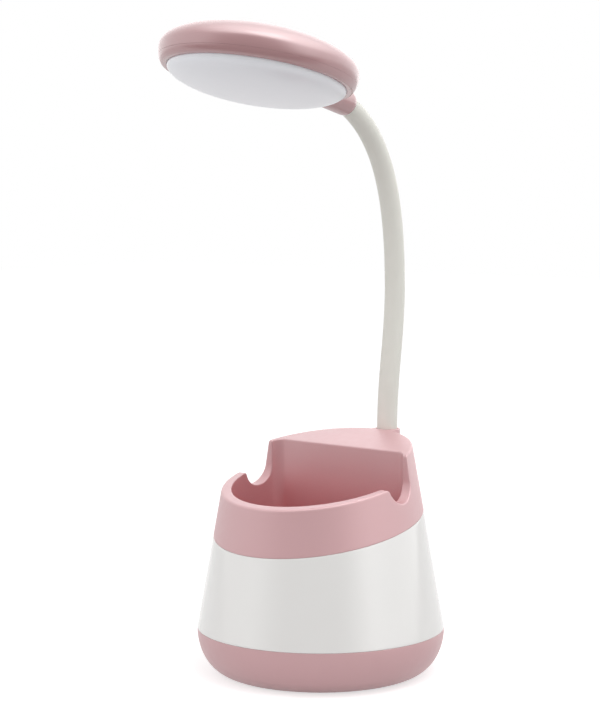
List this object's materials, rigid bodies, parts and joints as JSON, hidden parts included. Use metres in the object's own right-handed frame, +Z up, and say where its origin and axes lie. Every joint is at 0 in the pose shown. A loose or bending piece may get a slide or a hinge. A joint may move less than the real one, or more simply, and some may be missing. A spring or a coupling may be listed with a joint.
{
  "type": "desk lamp with pen holder",
  "caption": "Desk lamp: a round tilted light head on a bending gooseneck, standing in a tapered pot with a pen well, side notches for a phone and a raked top.",
  "frame": {"origin": "middle of the anti-slip pad's underside, on the pot's axis", "axes": "+Z up; the lamp faces -Y, and the gooseneck stands behind the pot on +Y; +X to the lamp's left"},
  "size_m": [0.1206, 0.1543, 0.3119],
  "materials": {
    "pink_plastic": "satin moulded, dusty pink",
    "pink_gloss_plastic": "semi-gloss moulded, dusty pink",
    "white_gloss_plastic": "gloss moulded, white",
    "opal_diffuser": "opal, satin",
    "silicone_sleeve": "matt, off-white silicone",
    "neck_steel": "drawn wire coil",
    "zinc_screw": "zinc plated",
    "weight_steel": "plain pressed sheet",
    "rubber_pad": "matt",
    "black_plastic": "moulded",
    "cell_wrap": "shrink wrap",
    "board_green": "solder mask",
    "board_white": "white solder mask",
    "reflector_white": "moulded white",
    "socket_steel": "drawn, plated",
    "brass_ferrule": "turned",
    "lead_red": "wire insulation"
  },
  "bodies": {
    "base": {"anti_slip_pad": "rubber_pad", "base_bowl": "pink_plastic", "base_screw_1": "zinc_screw", "base_screw_2": "zinc_screw", "base_screw_3": "zinc_screw", "base_screw_4": "zinc_screw", "counterweight": "weight_steel", "weight_screw_1": "zinc_screw", "weight_screw_2": "zinc_screw", "weight_screw_3": "zinc_screw", "battery_cell": "cell_wrap", "battery_cradle": "black_plastic", "battery_lead": "lead_red", "body_band": "white_gloss_plastic", "main_board": "board_green", "board_screw_1": "zinc_screw", "board_screw_2": "zinc_screw", "board_screw_3": "zinc_screw", "board_screw_4": "zinc_screw", "charging_socket": "socket_steel", "tact_switch": "black_plastic", "lamp_lead": "lead_red", "pen_holder_shell": "pink_plastic", "lower_ferrule": "brass_ferrule", "neck_lock_screw": "zinc_screw", "neck_sleeve_0": "silicone_sleeve", "neck_core_0": "neck_steel", "neck_lead_0": "lead_red"},
    "neck_link_1": {"neck_sleeve_1": "silicone_sleeve", "neck_core_1": "neck_steel", "neck_lead_1": "lead_red"},
    "neck_link_2": {"neck_sleeve_2": "silicone_sleeve", "neck_core_2": "neck_steel", "neck_lead_2": "lead_red"},
    "neck_link_3": {"neck_sleeve_3": "silicone_sleeve", "neck_core_3": "neck_steel", "neck_lead_3": "lead_red"},
    "neck_link_4": {"neck_sleeve_4": "silicone_sleeve", "neck_core_4": "neck_steel", "neck_lead_4": "lead_red"},
    "neck_link_5": {"neck_sleeve_5": "silicone_sleeve", "neck_core_5": "neck_steel", "neck_lead_5": "lead_red"},
    "head": {"neck_sleeve_6": "silicone_sleeve", "neck_core_6": "neck_steel", "neck_lead_6": "lead_red", "head_stem": "pink_gloss_plastic", "stem_clip": "zinc_screw", "head_lead": "lead_red", "head_cover": "pink_gloss_plastic", "head_ring": "pink_gloss_plastic", "lens_diffuser": "opal_diffuser", "reflector_ring": "reflector_white", "led_board": "board_white", "head_screw_1": "zinc_screw", "head_screw_2": "zinc_screw", "head_screw_3": "zinc_screw"},
    "power_button": {"power_button": "pink_plastic"}
  },
  "joints": [
    {"name": "neck_joint_1", "type": "hinge", "parent": "base", "child": "neck_link_1", "pos_m": [0, 0.0528, 0.1222], "axis": [1, 0, 0], "range_deg": [-25, 25]},
    {"name": "neck_joint_2", "type": "hinge", "parent": "neck_link_1", "child": "neck_link_2", "pos_m": [0, 0.05597, 0.15323], "axis": [0, 0.9914, -0.1312], "range_deg": [-25, 25]},
    {"name": "neck_joint_3", "type": "hinge", "parent": "neck_link_2", "child": "neck_link_3", "pos_m": [0, 0.05862, 0.18431], "axis": [1, 0, 0], "range_deg": [-25, 25]},
    {"name": "neck_joint_4", "type": "hinge", "parent": "neck_link_3", "child": "neck_link_4", "pos_m": [0, 0.05669, 0.21543], "axis": [0, 0.9899, 0.1414], "range_deg": [-25, 25]},
    {"name": "neck_joint_5", "type": "hinge", "parent": "neck_link_4", "child": "neck_link_5", "pos_m": [0, 0.04837, 0.2454], "axis": [1, 0, 0], "range_deg": [-25, 25]},
    {"name": "neck_joint_6", "type": "hinge", "parent": "neck_link_5", "child": "head", "pos_m": [0, 0.02923, 0.26965], "axis": [0, 0.6078, 0.7941], "range_deg": [-25, 25]},
    {"name": "power_button_press", "type": "slide", "parent": "base", "child": "power_button", "axis": [0, -0.9845, -0.1754], "range_m": [0, 0.0008], "stiffness_N_per_m": 1500, "springref_m": -0.0003}
  ]
}
